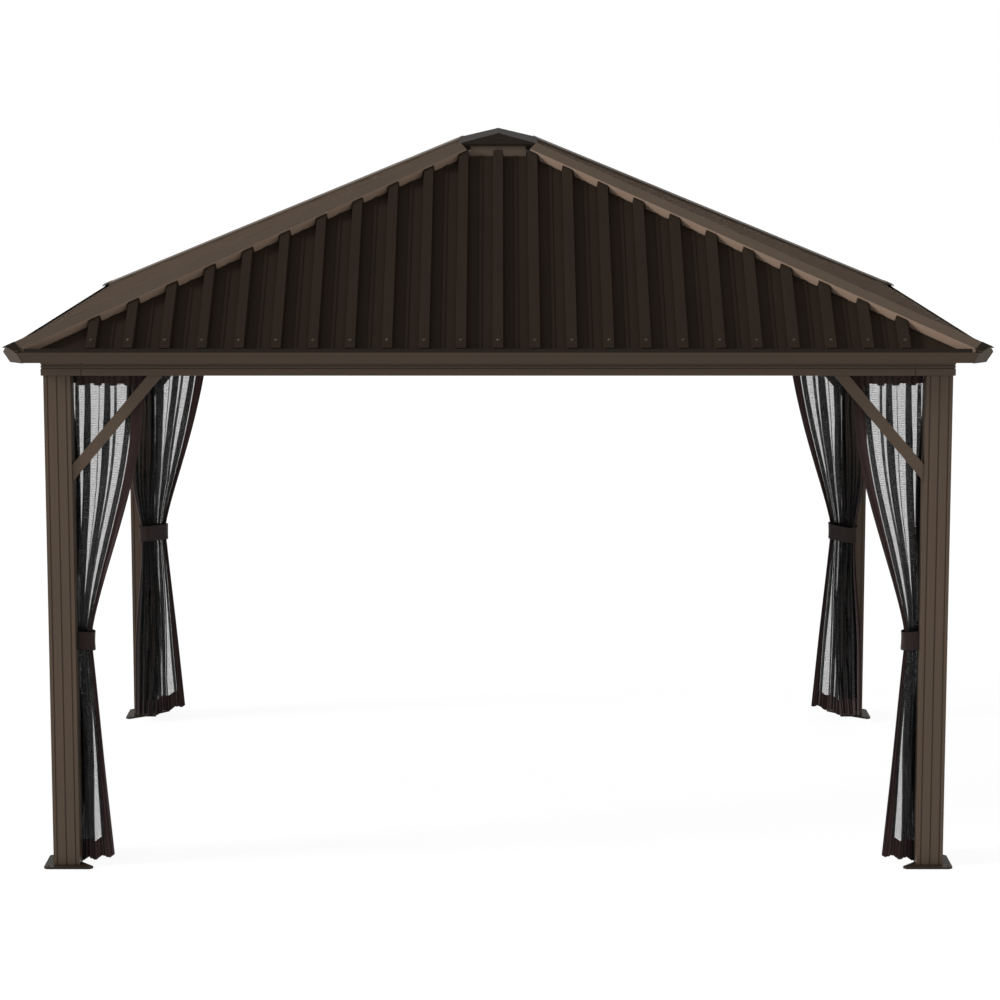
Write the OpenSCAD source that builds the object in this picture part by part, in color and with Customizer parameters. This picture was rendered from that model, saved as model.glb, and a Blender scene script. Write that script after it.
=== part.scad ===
// Open metal gazebo with a hipped, ribbed sheet roof, gutters, knee braces
// and insect nets tied back at the four posts.
// Origin at the middle of the footprint on the ground, +X along the front,
// +Y from front to rear, +Z up. Millimetres.

/* [Roof] */
// Width of the roof over the gutter lips, along X
roof_w = 3660; // [3000:10:4800]
// Depth of the roof over the gutter lips, along Y
roof_d = 3010; // [2600:10:4200]
// Height of the gutter lip above the ground
lip_z = 1985; // [1800:5:2400]
// Distance from the gutter lip in to the lower edge of the roof sheets
sheet_inset = 50; // [40:1:60]
// Drop of the lower edge of the roof sheets into the gutter
sheet_drop = 11; // [0:1:16]
// Rise of the roof sheets from lower edge to upper edge
roof_rise = 691; // [450:1:900]
// Width of the opening between the upper edges of the side sheets
top_w = 322; // [290:2:400]
// Length of the opening between the upper edges of the front and rear sheets
top_d = 920; // [700:5:1400]
// Thickness of the roof sheets
sheet_t = 2; // [1:0.5:4]
// Spacing of the ribs
rib_pitch = 137; // [110:1:180]
// Width of a rib at its foot
rib_w = 44; // [38:1:50]
// Width of a rib at its crest
rib_crest = 36; // [24:1:37]
// Height of a rib above the pan of the sheet
rib_h = 31; // [20:1:36]
// Width of the low bead between two ribs
bead_w = 22; // [14:1:30]
// Height of the low bead
bead_h = 3; // [2:0.5:5]
// Shortest rib that is formed next to a hip
rib_min_len = 150; // [120:5:200]
// Reach of each wing of a hip cap over its sheet
hip_wing = 25; // [20:1:40]
// Clearance of the wings of a hip cap above the ribs
hip_lift = 7; // [2:1:14]
// Rise of the ridge of a hip cap above its wing edges
hip_peak = 6; // [4:1:24]

/* [Ridge cap] */
// Width of the ridge cap
cap_w = 322; // [280:1:460]
// Length of the ridge cap
cap_d = 900; // [700:5:1400]
// Length of the level ridge of the cap
cap_ridge = 740; // [500:5:1100]
// Rise of the cap from its edge to its ridge
cap_rise = 40; // [25:1:70]
// Height of the edge fold of the cap
cap_edge = 9; // [5:1:14]
// Gap between the upper edge of the roof sheets and the cap
cap_gap = 40; // [30:1:70]
// Thickness of the cap sheet
cap_t = 3; // [2:0.5:5]
// Width of the vent skirt
skirt_w = 220; // [206:2:240]
// Setback of the vent skirt behind the upper edge of the front sheet
skirt_back = 20; // [6:1:30]

/* [Gutter] */
// Height of the gutter
gutter_h = 41; // [30:1:60]
// Lean of the outer gutter wall
gutter_lean = 22; // [12:1:30]
// Wall thickness of the gutter
gutter_t = 2; // [1.5:0.5:4]
// Width of the lip that is folded in at the top of the gutter
lip_w = 15; // [10:1:18]
// Rise of the folded lip
lip_rise = 13; // [6:1:16]
// Leg of the chamfer at the gutter corners
corner_leg = 56; // [46:1:66]

/* [Frame] */
// Distance from the gutter lip in to the outer face of the beams
beam_inset = 125; // [100:1:170]
// Height of the beams
beam_h = 104; // [80:1:120]
// Width of the beams
beam_w = 50; // [40:1:60]
// Distance from the gutter lip down to the underside of the beams
beam_drop = 99; // [90:1:115]
// Wall thickness of the beams and posts
tube_t = 3; // [2:0.5:5]
// Length of each arm of a corner block
block_arm = 152; // [135:1:200]
// Width of the square posts
post_w = 100; // [80:1:120]
// How far the beams stand proud of the posts
beam_proud = 8; // [4:1:14]
// Depth of the grooves in posts and beams
groove_d = 2.5; // [1:0.1:3]
// Width of the grooves in posts and beams
groove_w = 5; // [3:0.5:7]
// Width of the knee braces
brace_w = 42; // [30:1:55]
// Thickness of the knee braces
brace_t = 34; // [24:1:38]
// Reach of a knee brace along the beam
brace_run = 289; // [220:1:380]
// Reach of a knee brace down the post
brace_rise = 338; // [240:1:420]
// Width of the rafters
rafter_w = 40; // [30:1:60]
// Depth of the rafters
rafter_h = 40; // [30:1:50]
// Height of the crown frame at the top of the rafters
crown_h = 70; // [50:1:90]
// Width of the members of the crown frame
crown_w = 62; // [56:1:70]

/* [Feet] */
// Thickness of the foot plates
foot_t = 8; // [5:1:14]
// Margin of a foot plate outside the post
foot_margin = 34; // [26:1:44]
// Reach of a foot plate past the inner face of the post
foot_reach = 53; // [48:1:80]
// Diameter of the anchor holes
anchor_d = 12; // [8:1:14]

/* [Nets] */
// Width of a net at its rail
net_top = 320; // [260:5:330]
// Width of a net at its tie
net_waist = 64; // [50:1:80]
// Width of a net at its hem
net_hem = 132; // [100:1:180]
// Thickness of a gathered net
net_t = 40; // [30:1:42]
// Height of the middle of the ties
tie_z = 872; // [700:1:1000]
// Height of the ties
tie_h = 70; // [40:1:100]
// Thickness of the ties
tie_t = 3; // [2:0.5:5]

/* [Hidden] */
$fn = 48;

// Clearance where one piece seats on another
seat = 0.3;
// Clearance round a rib in a notch
notch_clear = 1.5;
// Seam between two roof sheets under a hip cap
hip_seam = 3;

frame_colour = [0.33, 0.28, 0.24];
roof_colour = [0.17, 0.14, 0.12];
trim_colour = [0.29, 0.25, 0.21];
net_colour = [0.45, 0.44, 0.43];
tie_colour = [0.16, 0.11, 0.11];

// Sides are numbered 0 front, 1 right, 2 rear, 3 left. Each side is drawn as
// the front one, with its eave along X on the -Y side, and turned into place.
function across(i) = i % 2 == 0 ? roof_w / 2 : roof_d / 2;
function outward(i) = i % 2 == 0 ? roof_d / 2 : roof_w / 2;
function top_across(i) = i % 2 == 0 ? top_w / 2 : top_d / 2;
function top_outward(i) = i % 2 == 0 ? top_d / 2 : top_w / 2;

sheet_z = lip_z - sheet_drop;
top_z = sheet_z + roof_rise;
function sheet_across(i) = across(i) - sheet_inset;
function sheet_outward(i) = outward(i) - sheet_inset;
function slope(i) = atan2(roof_rise, sheet_outward(i) - top_outward(i));
function slope_len(i) = roof_rise / sin(slope(i));
function hip_angle(i) = atan2(slope_len(i), sheet_across(i) - top_across(i));
function ribs_each_way(i) =
    floor((sheet_across(i) - rib_min_len / tan(hip_angle(i))) / rib_pitch);
// Height of the top face of the pans at a distance y along a side
function pan_z(i, y) = sheet_z + (y + sheet_outward(i)) * tan(slope(i));
function under_z(i, y) = pan_z(i, y) - sheet_t / cos(slope(i)) - seat;

beam_z = lip_z - beam_drop;
beam_top = beam_z + beam_h;
function beam_out(i) = outward(i) - beam_inset;
function beam_across(i) = across(i) - beam_inset;
block_core = post_w + beam_proud;
crown_back = 2;
crown_z = top_z - 6;
cap_z = top_z + cap_gap;
cap_ridge_z = cap_z + cap_edge + cap_rise;
cap_hip_run = (cap_d - cap_ridge) / 2;
cap_slope_side = atan2(cap_rise, cap_w / 2);
cap_slope_end = atan2(cap_rise, cap_hip_run);
// The skirt stays on the crown and under the cap
skirt_cover = 10;
skirt_d = min(top_d - 2 * skirt_back, cap_d - 2 * skirt_cover);
// Start of the hip caps up the hip from its foot, and their clearance to other trim
hip_start = 5;
cap_clear = 2;
gutter_z = lip_z - gutter_h;
gutter_back = beam_inset - seat;
groove_places = [0.15, 0.5, 0.85];
beam_groove_places = [0.27, 0.37];
rail_h = 20;
rail_w = 24;
rail_z = beam_z + 20;
net_gap = 4;
net_top_z = rail_z - seat;
net_low_post = 10;
net_low_edge = 40;

function unit(v) = v / norm(v);
function reversed(list) = [for (k = [len(list) - 1:-1:0]) list[k]];

// Turns a side drawn as the front one into its place
module on_side(i) rotate([0, 0, 90 * i]) children();

// Local frame on the outer corner of two beams at the right end of side i,
// with +X running in along side i and +Y running in along the next side
module on_corner(i) on_side(i)
    translate([beam_across(i), -beam_out(i), 0]) mirror([1, 0, 0]) children();

// Runs a profile drawn in (outward distance, height) along the eave of a side
module along_eave(half_len)
    translate([-half_len, 0, 0]) rotate([90, 0, 90]) linear_extrude(2 * half_len) children();

// Lays children in the plane of a roof sheet: X along the eave, Y up the slope
module on_sheet(i) on_side(i)
    translate([0, -sheet_outward(i), sheet_z]) rotate([slope(i), 0, 0]) children();

// Places X along the line from a to b, with Z halfway between two face normals
module along_fold(a, b, n1, n2) {
    x = unit(b - a);
    z = unit(n1 + n2);
    y = cross(z, x);
    multmatrix([
        [x[0], y[0], z[0], a[0]],
        [x[1], y[1], z[1], a[1]],
        [x[2], y[2], z[2], a[2]],
        [0, 0, 0, 1]
    ]) children();
}

// Half the angle between two face normals
function fold_of(n1, n2) = acos(n1 * n2) / 2;

// Sweeps a cross-section drawn in (Y, Z) along X
module sweep_x(from, to)
    translate([from, 0, 0]) rotate([90, 0, 90]) linear_extrude(to - from) children();

// Folded cap: two wings whose edges lie at height low to high over their sheets,
// a ridge that is higher by peak, and a flange down towards the sheet at each edge
function wing_point(fold, along, up) =
    [along * cos(fold) + up * sin(fold), up * cos(fold) - along * sin(fold)];
function mirrored(points) = [for (p = points) [-p[0], p[1]]];
module folded_cap(fold, wing, low, high, flange, peak) {
    edge = [
        wing_point(fold, wing - sheet_t, low), wing_point(fold, wing - sheet_t, flange),
        wing_point(fold, wing, flange), wing_point(fold, wing, high)
    ];
    polygon(concat(
        [[0, (low + peak) / cos(fold)]], edge, [[0, (high + peak) / cos(fold)]],
        reversed(mirrored(edge))
    ));
}

// Ends of a hip at the right end of side i, and the normals of its two sheets
function hip_foot(i) = [sheet_across(i), -sheet_outward(i), sheet_z];
function hip_head(i) = [top_across(i), -top_outward(i), top_z];
function hip_len(i) = norm(hip_head(i) - hip_foot(i));
function own_normal(i) = [0, -sin(slope(i)), cos(slope(i))];
function next_normal(i) = [sin(slope(i + 1)), 0, cos(slope(i + 1))];
function hip_fold(i) = fold_of(own_normal(i), next_normal(i));
module on_hip(i) on_side(i)
    along_fold(hip_foot(i), hip_head(i), own_normal(i), next_normal(i)) children();

// Square tube post with shallow grooves down each face
module post_profile() difference() {
    square(post_w, center = true);
    square(post_w - 2 * (tube_t + groove_d), center = true);
    for (a = [0:90:270], g = groove_places)
        rotate(a) translate([(g - 0.5) * post_w, post_w / 2])
            square([groove_w, 2 * groove_d], center = true);
}

module post(i) color(frame_colour) on_corner(i)
    translate([beam_proud + post_w / 2, beam_proud + post_w / 2, foot_t])
        linear_extrude(beam_z - foot_t) post_profile();

// Flat foot plate, two arms wider than the post, with three anchor holes
foot_tip = 19;
foot_cut = 12;
anchor_edge = 17;
arm_anchor = post_w + foot_reach - foot_tip;
anchor_spots = [
    [-anchor_edge, -anchor_edge], [arm_anchor, -anchor_edge], [-anchor_edge, arm_anchor]
];
module foot_outline() polygon([
    [-foot_margin + foot_cut, -foot_margin],
    [post_w + foot_reach - foot_cut, -foot_margin],
    [post_w + foot_reach, -foot_margin + foot_cut],
    [post_w + foot_reach, -foot_margin + foot_tip],
    [post_w, post_w / 2], [post_w, post_w], [post_w / 2, post_w],
    [-foot_margin + foot_tip, post_w + foot_reach],
    [-foot_margin + foot_cut, post_w + foot_reach],
    [-foot_margin, post_w + foot_reach - foot_cut],
    [-foot_margin, -foot_margin + foot_cut]
]);

module foot(i) color(frame_colour) on_corner(i) translate([beam_proud, beam_proud, 0])
    difference() {
        linear_extrude(foot_t) foot_outline();
        for (p = anchor_spots)
            translate([p[0], p[1], -1]) cylinder(d = anchor_d, h = foot_t + 2);
    }

// Hollow beam between two corner blocks, with two grooves along its outer face
module beam_profile(i) translate([-beam_out(i), beam_z]) difference() {
    square([beam_w, beam_h]);
    translate([tube_t + groove_d, tube_t])
        square([beam_w - 2 * tube_t - groove_d, beam_h - 2 * tube_t]);
    for (g = beam_groove_places)
        translate([-groove_d, g * beam_h - groove_w / 2]) square([2 * groove_d, groove_w]);
}

module beam(i) color(frame_colour) on_side(i)
    along_eave(beam_across(i) - block_arm - seat) beam_profile(i);

// Corner block on a post head: a core over the post and an arm along each beam,
// stepped back where it meets the beams and grooved like them
seam_w = 3;
module corner_block(i) on_corner(i) translate([0, 0, beam_z]) difference() {
    linear_extrude(beam_h) polygon([
        [0, 0], [block_arm - seam_w, 0], [block_arm - seam_w, groove_d], [block_arm, groove_d],
        [block_arm, beam_w], [block_core, beam_w], [block_core, block_core], [beam_w, block_core],
        [beam_w, block_arm], [groove_d, block_arm], [groove_d, block_arm - seam_w],
        [0, block_arm - seam_w]
    ]);
    for (g = beam_groove_places) translate([-1, -1, g * beam_h - groove_w / 2]) {
        cube([block_arm + 2, groove_d + 1, groove_w]);
        cube([groove_d + 1, block_arm + 2, groove_w]);
    }
}

module corner_blocks() color(frame_colour) for (i = [0:3]) corner_block(i);

// Pair of knee braces of one side, from the posts up to the beam
brace_angle = atan2(brace_rise, brace_run);
module brace_profile() polygon([
    [0, -brace_rise], [0, -brace_rise - brace_w / cos(brace_angle)],
    [brace_run + brace_w / sin(brace_angle), 0], [brace_run, 0]
]);

module braces(i) color(frame_colour) on_side(i) for (m = [0, 1]) mirror([m, 0, 0])
    translate([beam_across(i) - block_core, -beam_out(i) + beam_w, beam_z])
        mirror([1, 0, 0]) rotate([90, 0, 0]) linear_extrude(brace_t) brace_profile();

// Gutter with a leaning outer wall and a lip folded up and in, mitred at both
// ends and cut back at the corners
module gutter_profile(i) translate([-outward(i), 0]) polygon([
    [0, lip_z], [gutter_lean, gutter_z], [gutter_back, gutter_z], [gutter_back, lip_z],
    [gutter_back - gutter_t, lip_z], [gutter_back - gutter_t, gutter_z + gutter_t],
    [gutter_lean + gutter_t, gutter_z + gutter_t],
    [1.5 * gutter_t, lip_z - gutter_t], [lip_w, lip_z + lip_rise - 1.5 * gutter_t],
    [lip_w, lip_z + lip_rise]
]);

// Leaning plane of the chamfer at the right end of side i, Z facing outward
lean_rate = gutter_lean / gutter_h;
chamfer_norm = sqrt(2 + 4 * lean_rate * lean_rate);
chamfer_up = sqrt(2) / chamfer_norm;
module on_chamfer(i) on_side(i) {
    x = [1, 1, 0] / sqrt(2);
    z = [1, -1, -2 * lean_rate] / chamfer_norm;
    y = cross(z, x);
    multmatrix([
        [x[0], y[0], z[0], across(i) - corner_leg / 2],
        [x[1], y[1], z[1], -outward(i) + corner_leg / 2],
        [x[2], y[2], z[2], lip_z],
        [0, 0, 0, 1]
    ]) children();
}

cutter = 400;
module past_chamfer(i, from) on_chamfer(i)
    translate([-cutter / 2, -cutter / 2, from]) cube([cutter, cutter, cutter]);

// Everything inside the gutter lips, or further in by a margin
module inside_lips(margin) translate([margin - roof_w / 2, margin - roof_d / 2, 0])
    cube([roof_w - 2 * margin, roof_d - 2 * margin, 2 * top_z]);

// The folded lip stops where the small roof of the gutter corner starts
function lip_cut(i) =
    lip_w * (sheet_across(i) - top_across(i)) / (sheet_outward(i) - top_outward(i)) + cap_clear;
module past_lip_ends(i) on_side(i) for (m = [0, 1]) mirror([m, 0, 0])
    translate([across(i) - corner_leg - lip_cut(i), -outward(i) - 1, lip_z])
        cube([cutter, 2 * lip_w, 2 * lip_rise]);

module gutter(i) color(trim_colour) difference() {
    on_side(i) intersection() {
        along_eave(across(i)) gutter_profile(i);
        translate([0, 0, gutter_z - 1]) linear_extrude(gutter_h + lip_rise + 2) polygon([
            [-across(i) + seat, -outward(i)], [across(i) - seat, -outward(i)],
            [across(i) - beam_inset - seat, -outward(i) + beam_inset],
            [-across(i) + beam_inset + seat, -outward(i) + beam_inset]
        ]);
    }
    past_chamfer(i, -seat);
    past_chamfer((i + 3) % 4, -seat);
    past_lip_ends(i);
}

// Gutter corner: a five-sided face on the chamfer with a small folded roof
// that runs back to the hip cap
corner_face_t = 3;
corner_peak = 22;
corner_roof_wing = 33;
corner_roof_h = 42;
corner_roof_peak = 5;
module gutter_corner(i) {
    on_chamfer(i) linear_extrude(corner_face_t) polygon([
        [-corner_leg / sqrt(2), -gutter_h / chamfer_up], [corner_leg / sqrt(2), -gutter_h / chamfer_up],
        [corner_leg / sqrt(2), 0], [0, corner_peak / chamfer_up], [-corner_leg / sqrt(2), 0]
    ]);
    difference() {
        intersection() {
            on_hip(i) sweep_x(-2 * corner_leg, hip_start - seat) folded_cap(
                hip_fold(i), corner_roof_wing, corner_roof_h - sheet_t, corner_roof_h,
                corner_roof_h - 1.5 * sheet_t, corner_roof_peak
            );
            inside_lips(0);
        }
        past_chamfer(i, corner_face_t);
    }
}

module gutter_corners() color(trim_colour) for (i = [0:3]) gutter_corner(i);

// Points of one fold of the roof sheet, raised by h and inset by its thickness
function fold_points(c, w, crest, h, t) = [
    [c - w / 2 + t, -t], [c - crest / 2 + t, h - t], [c + crest / 2 - t, h - t], [c + w / 2 - t, -t]
];
function sheet_line(i, t) = let (n = ribs_each_way(i)) concat(
    [[-sheet_across(i), -t]],
    [for (k = [-n:n]) each concat(
        fold_points(k * rib_pitch, rib_w, rib_crest, rib_h, t),
        k < n ? fold_points((k + 0.5) * rib_pitch, bead_w, bead_w / 2, bead_h, t) : []
    )],
    [[sheet_across(i), -t]]
);

// Runs a profile drawn in (along the eave, above the sheet) up the slope
module up_slope(i) translate([0, slope_len(i), 0]) rotate([90, 0, 0])
    linear_extrude(slope_len(i)) children();

// Plan of a roof sheet in its own plane, held back from the hips
module sheet_plan(i, back) {
    trim = back / sin(hip_angle(i));
    polygon([
        [-sheet_across(i) + trim, 0], [sheet_across(i) - trim, 0],
        [top_across(i) - trim, slope_len(i)], [-top_across(i) + trim, slope_len(i)]
    ]);
}

// Closed ends of the ribs at the eave
module rib_ends(i) translate([0, sheet_t, 0]) rotate([90, 0, 0]) linear_extrude(sheet_t)
    for (k = [-ribs_each_way(i):ribs_each_way(i)])
        polygon(concat(
            fold_points(k * rib_pitch, rib_w, rib_crest, rib_h, 0),
            [[k * rib_pitch + rib_w / 2, -sheet_t], [k * rib_pitch - rib_w / 2, -sheet_t]]
        ));

// Ribbed roof sheet of one side
module roof_sheet(i) color(roof_colour) on_sheet(i) intersection() {
    union() {
        up_slope(i) polygon(concat(sheet_line(i, 0), reversed(sheet_line(i, sheet_t))));
        rib_ends(i);
    }
    translate([0, 0, -2 * rib_h]) linear_extrude(4 * rib_h) sheet_plan(i, hip_seam);
}

// Ribs of one half of a side, grown by a clearance, that notch the hip caps
module rib_notches(i, way) on_sheet(i) intersection() {
    up_slope(i) for (k = [0:ribs_each_way(i)])
        polygon([
            [way * k * rib_pitch - rib_w / 2 - notch_clear, -1],
            [way * k * rib_pitch - rib_crest / 2 - notch_clear, rib_h + 2 * seat],
            [way * k * rib_pitch + rib_crest / 2 + notch_clear, rib_h + 2 * seat],
            [way * k * rib_pitch + rib_w / 2 + notch_clear, -1]
        ]);
    translate([0, 0, -2 * rib_h]) linear_extrude(4 * rib_h) sheet_plan(i, hip_wing / 2);
}

// Hip cap: two wings over the ribs, with flanges notched down between them. It
// starts behind the gutter corner and runs up under the ridge cap
hip_over = 25;
module hip_cap(i) color(trim_colour) difference() {
    intersection() {
        on_hip(i) sweep_x(hip_start, hip_len(i) + hip_over) folded_cap(
            hip_fold(i), hip_wing, rib_h + hip_lift, rib_h + hip_lift + sheet_t, seat, hip_peak
        );
        inside_lips(lip_w + cap_clear);
    }
    rib_notches(i, 1);
    rib_notches((i + 1) % 4, -1);
    translate([-cap_w / 2 - cap_clear, -cap_d / 2 - cap_clear, cap_z - cap_clear])
        cube([cap_w + 2 * cap_clear, cap_d + 2 * cap_clear, top_z]);
}

// Hip rafters under the hips, shaped to both sheets and seated on the corner
// blocks and against the crown
module hip_rafter(i) difference() {
    on_hip(i) sweep_x(0, hip_len(i) + rafter_h) {
        drop = sheet_t + 2 * seat;
        half = rafter_w / 2;
        polygon([
            [0, -drop / cos(hip_fold(i))],
            [half, -drop / cos(hip_fold(i)) - half * tan(hip_fold(i))],
            [half, -drop - rafter_h - half * tan(hip_fold(i))],
            [-half, -drop - rafter_h - half * tan(hip_fold(i))],
            [-half, -drop / cos(hip_fold(i)) - half * tan(hip_fold(i))]
        ]);
    }
    translate([-roof_w, -roof_d, 0]) cube([2 * roof_w, 2 * roof_d, beam_top]);
    on_side(i) translate([beam_across(i), -roof_w, 0]) cube([roof_w, 2 * roof_w, 2 * top_z]);
    on_side(i) translate([-roof_w, -beam_out(i) - roof_w, 0]) cube([2 * roof_w, roof_w, 2 * top_z]);
    crown_block(crown_back, 2 * top_z);
}

module hip_rafters() color(frame_colour) for (i = [0:3]) hip_rafter(i);

// Block of the plan of the crown, set back from the upper edges of the sheets
module crown_block(back, height) translate([-top_w / 2 + back, -top_d / 2 + back, 0])
    cube([top_w - 2 * back, top_d - 2 * back, height]);

// Centre rafter of a side, notched onto the beam and butted to the crown
module centre_rafter(i) {
    y0 = -beam_out(i);
    y1 = -top_outward(i) + crown_back;
    depth = rafter_h / cos(slope(i));
    on_side(i) along_eave(rafter_w / 2) polygon([
        [y0, under_z(i, y0)], [y1, under_z(i, y1)], [y1, under_z(i, y1) - depth],
        [y0 + beam_w, under_z(i, y0 + beam_w) - depth], [y0 + beam_w, beam_top], [y0, beam_top]
    ]);
}

module centre_rafters() color(frame_colour) for (i = [0:3]) centre_rafter(i);

// Crown frame that the rafters butt against
module crown() color(frame_colour) translate([0, 0, crown_z - crown_h]) difference() {
    crown_block(crown_back, crown_h);
    translate([0, 0, -1]) crown_block(crown_back + crown_w, crown_h + 2);
}

// Upright vent skirt on the crown, that carries the ridge cap
function under_cap(back, fall) = back * tan(fall) - cap_t / cos(fall);
skirt_top = cap_z + cap_edge - seat + min(
    under_cap((cap_w - skirt_w) / 2, cap_slope_side), under_cap((cap_d - skirt_d) / 2, cap_slope_end)
);
module vent_skirt() color(trim_colour) translate([0, 0, crown_z]) difference() {
    translate([-skirt_w / 2, -skirt_d / 2, 0]) cube([skirt_w, skirt_d, skirt_top - crown_z]);
    translate([-skirt_w / 2 + cap_t, -skirt_d / 2 + cap_t, -1])
        cube([skirt_w - 2 * cap_t, skirt_d - 2 * cap_t, skirt_top - crown_z + 2]);
}

// Hipped form of the ridge cap, drawn in by a wall thickness
module cap_form(wall) {
    half_w = cap_w / 2 - wall;
    half_d = cap_d / 2 - wall;
    low = cap_z - wall;
    eave_drop = wall / cos(cap_slope_side) - wall * tan(cap_slope_side);
    end_drop = wall / cos(cap_slope_end) - wall * tan(cap_slope_end);
    ridge = cap_ridge_z - wall / cos(cap_slope_side);
    end_ridge = half_d - (ridge - cap_z - cap_edge + end_drop) / tan(cap_slope_end);
    intersection() {
        rotate([90, 0, 0]) linear_extrude(2 * half_d, center = true) polygon([
            [-half_w, low], [half_w, low], [half_w, cap_z + cap_edge - eave_drop], [0, ridge],
            [-half_w, cap_z + cap_edge - eave_drop]
        ]);
        rotate([90, 0, 90]) linear_extrude(2 * half_w, center = true) polygon([
            [-half_d, low], [half_d, low], [half_d, cap_z + cap_edge - end_drop], [end_ridge, ridge],
            [-end_ridge, ridge], [-half_d, cap_z + cap_edge - end_drop]
        ]);
    }
}

module ridge_cap() color(trim_colour) difference() {
    cap_form(0);
    cap_form(cap_t);
}

// Net rail on the inner face of a beam
module net_rail(i) on_side(i) along_eave(beam_across(i) - block_core - seat)
    translate([-beam_out(i) + beam_w + seat, rail_z]) difference() {
        square([rail_w, rail_h]);
        translate([gutter_t, gutter_t]) square([rail_w - 2 * gutter_t, rail_h - 2 * gutter_t]);
        translate([rail_w / 2 - gutter_t, -1]) square([2 * gutter_t, rail_h / 2]);
    }

module net_rails() color(frame_colour) for (i = [0:3]) net_rail(i);

// Half net drawn to its post: wide at the rail, gathered at the tie
module net_outline() polygon([
    [0, net_top_z], [net_top, net_top_z], [net_waist, tie_z + tie_h / 2],
    [net_waist, tie_z - tie_h / 2], [net_hem, net_low_edge], [0, net_low_post]
]);

// The two half nets at the corner at the right end of side i
module nets(i) color(net_colour) on_corner(i) {
    translate([block_core + seat, beam_w + net_gap + net_t, 0])
        rotate([90, 0, 0]) linear_extrude(net_t) net_outline();
    translate([beam_w + net_gap, block_core + seat, 0])
        rotate([90, 0, 90]) linear_extrude(net_t) net_outline();
}

// Strap that holds both bunches of a corner against the post
module net_tie(i) on_corner(i) translate([0, 0, tie_z - tie_h / 2]) linear_extrude(tie_h) {
    low = beam_w + net_gap - seat;
    high = beam_w + net_gap + net_t + seat;
    reach = block_core + net_waist + 2 * seat;
    post = block_core + seat;
    polygon([
        [post, low - tie_t], [reach + tie_t, low - tie_t], [reach + tie_t, high + tie_t],
        [high + tie_t, reach + tie_t], [low - tie_t, reach + tie_t], [low - tie_t, post],
        [low, post], [low, reach], [high, reach], [reach, high], [reach, low], [post, low]
    ]);
}

module net_ties() color(tie_colour) for (i = [0:3]) net_tie(i);

post(0);  // front_right_post
post(1);  // rear_right_post
post(2);  // rear_left_post
post(3);  // front_left_post
foot(0);  // front_right_foot
foot(1);  // rear_right_foot
foot(2);  // rear_left_foot
foot(3);  // front_left_foot
beam(0);  // front_beam
beam(1);  // right_beam
beam(2);  // rear_beam
beam(3);  // left_beam
corner_blocks();
braces(0);  // front_braces
braces(1);  // right_braces
braces(2);  // rear_braces
braces(3);  // left_braces
gutter(0);  // front_gutter
gutter(1);  // right_gutter
gutter(2);  // rear_gutter
gutter(3);  // left_gutter
gutter_corners();
roof_sheet(0);  // front_roof
roof_sheet(1);  // right_roof
roof_sheet(2);  // rear_roof
roof_sheet(3);  // left_roof
hip_cap(0);  // front_right_hip_cap
hip_cap(1);  // rear_right_hip_cap
hip_cap(2);  // rear_left_hip_cap
hip_cap(3);  // front_left_hip_cap
hip_rafters();
centre_rafters();
crown();
vent_skirt();
ridge_cap();
net_rails();
nets(0);  // front_right_nets
nets(1);  // rear_right_nets
nets(2);  // rear_left_nets
nets(3);  // front_left_nets
net_ties();
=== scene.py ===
"""Metal gazebo: finishes, nets, fixings, light and camera around the CAD frame. Metres, +Z up."""

import math

import bmesh
import bpy
import numpy as np
from mathutils import Matrix, Vector

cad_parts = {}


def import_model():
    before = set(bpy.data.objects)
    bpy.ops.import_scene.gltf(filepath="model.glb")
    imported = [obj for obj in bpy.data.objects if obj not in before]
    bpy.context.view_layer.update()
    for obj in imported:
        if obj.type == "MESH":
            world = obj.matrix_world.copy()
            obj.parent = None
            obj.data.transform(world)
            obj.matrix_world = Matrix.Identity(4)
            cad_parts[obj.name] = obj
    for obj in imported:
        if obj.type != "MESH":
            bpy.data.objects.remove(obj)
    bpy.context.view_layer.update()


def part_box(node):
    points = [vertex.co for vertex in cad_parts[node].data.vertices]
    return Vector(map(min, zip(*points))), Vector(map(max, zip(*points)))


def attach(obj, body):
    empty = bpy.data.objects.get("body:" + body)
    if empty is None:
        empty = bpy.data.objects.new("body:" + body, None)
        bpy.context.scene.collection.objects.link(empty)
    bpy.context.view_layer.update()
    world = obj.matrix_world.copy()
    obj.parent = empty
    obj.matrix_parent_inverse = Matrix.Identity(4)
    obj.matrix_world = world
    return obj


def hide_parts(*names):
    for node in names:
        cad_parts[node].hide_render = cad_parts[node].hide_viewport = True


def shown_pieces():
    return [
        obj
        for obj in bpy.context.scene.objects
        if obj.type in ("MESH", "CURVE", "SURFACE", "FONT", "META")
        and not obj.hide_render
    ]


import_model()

NODES = {o.name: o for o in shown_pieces()}
CORNERS = ["front_right", "rear_right", "rear_left", "front_left"]
SIDES = ["front", "right", "rear", "left"]


# Shader helpers

def srgb(r, g, b):
    """Linear colour from 0 to 255 sRGB values."""
    def linear(c):
        c /= 255
        return c / 12.92 if c <= 0.04045 else ((c + 0.055) / 1.055) ** 2.4
    return (linear(r), linear(g), linear(b), 1.0)


def shade_of(colour, factor):
    return tuple(c * factor for c in colour[:3]) + (1.0,)


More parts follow.
